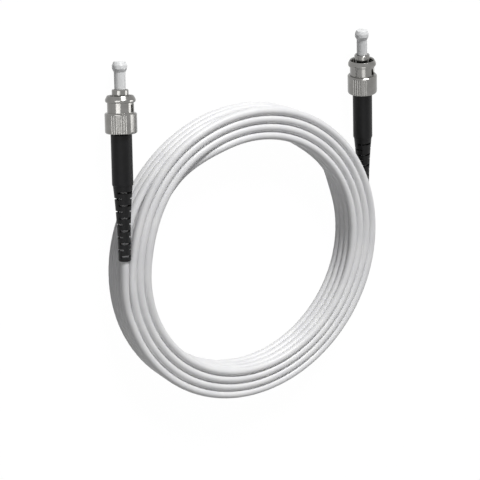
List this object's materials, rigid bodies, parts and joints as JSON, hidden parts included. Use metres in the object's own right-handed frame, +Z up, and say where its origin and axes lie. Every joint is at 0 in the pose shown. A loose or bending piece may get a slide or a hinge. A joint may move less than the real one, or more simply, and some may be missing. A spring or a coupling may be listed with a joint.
{
  "type": "bayonet fibre patch lead",
  "caption": "Fibre patch lead: a flat coil of jacketed cable with a spring-loaded bayonet connector, slotted bend-relief boot and dust cap at each end.",
  "frame": {"origin": "on the surface the lead lies on, midway between the two connectors", "axes": "+X from the first connector to the second, +Y the way the connectors point, +Z up from the surface"},
  "size_m": [0.0922, 0.1071, 0.0112],
  "materials": {
    "jacket": "satin",
    "boot_rubber": "satin",
    "nickel": "polished",
    "cap_plastic": "satin",
    "ceramic": "polished",
    "spring_steel": "satin",
    "yarn": "matte",
    "buffer_white": "satin"
  },
  "bodies": {
    "lead": {"cable_coil": "jacket", "near_tail": "jacket", "far_tail": "jacket", "near_boot": "boot_rubber", "near_crimp_sleeve": "nickel", "near_yarn": "yarn", "near_buffer": "buffer_white", "near_backbone": "nickel", "near_barrel": "nickel", "near_ferrule": "ceramic", "near_spring": "spring_steel", "far_boot": "boot_rubber", "far_crimp_sleeve": "nickel", "far_yarn": "yarn", "far_buffer": "buffer_white", "far_backbone": "nickel", "far_barrel": "nickel", "far_ferrule": "ceramic", "far_spring": "spring_steel"},
    "near_cap": {"near_dust_cap": "cap_plastic"},
    "near_washer": {"near_thrust_washer": "spring_steel"},
    "near_nut": {"near_coupling_nut": "nickel", "near_retaining_ring": "spring_steel"},
    "far_cap": {"far_dust_cap": "cap_plastic"},
    "far_washer": {"far_thrust_washer": "spring_steel"},
    "far_nut": {"far_coupling_nut": "nickel", "far_retaining_ring": "spring_steel"}
  },
  "joints": [
    {"name": "near_cap_pull", "type": "slide", "parent": "lead", "child": "near_cap", "axis": [0.0848, 0.9894, -0.1182], "range_m": [0, 0.02]},
    {"name": "near_nut_push", "type": "slide", "parent": "lead", "child": "near_washer", "axis": [0.0848, 0.9894, -0.1182], "range_m": [0, 0.0016], "stiffness_N_per_m": 1500, "springref_m": -0.002, "deforming": ["near_spring"]},
    {"name": "near_nut_turn", "type": "hinge", "parent": "near_washer", "child": "near_nut", "pos_m": [-0.04109, 0.01126, 0.00496], "axis": [0.0848, 0.9894, -0.1182], "continuous": true},
    {"name": "far_cap_pull", "type": "slide", "parent": "lead", "child": "far_cap", "axis": [-0.0765, 0.9946, 0.0704], "range_m": [0, 0.02]},
    {"name": "far_nut_push", "type": "slide", "parent": "lead", "child": "far_washer", "axis": [-0.0765, 0.9946, 0.0704], "range_m": [0, 0.0016], "stiffness_N_per_m": 1500, "springref_m": -0.002, "deforming": ["far_spring"]},
    {"name": "far_nut_turn", "type": "hinge", "parent": "far_washer", "child": "far_nut", "pos_m": [0.04141, 0.01066, 0.00455], "axis": [-0.0765, 0.9946, 0.0704], "continuous": true}
  ]
}
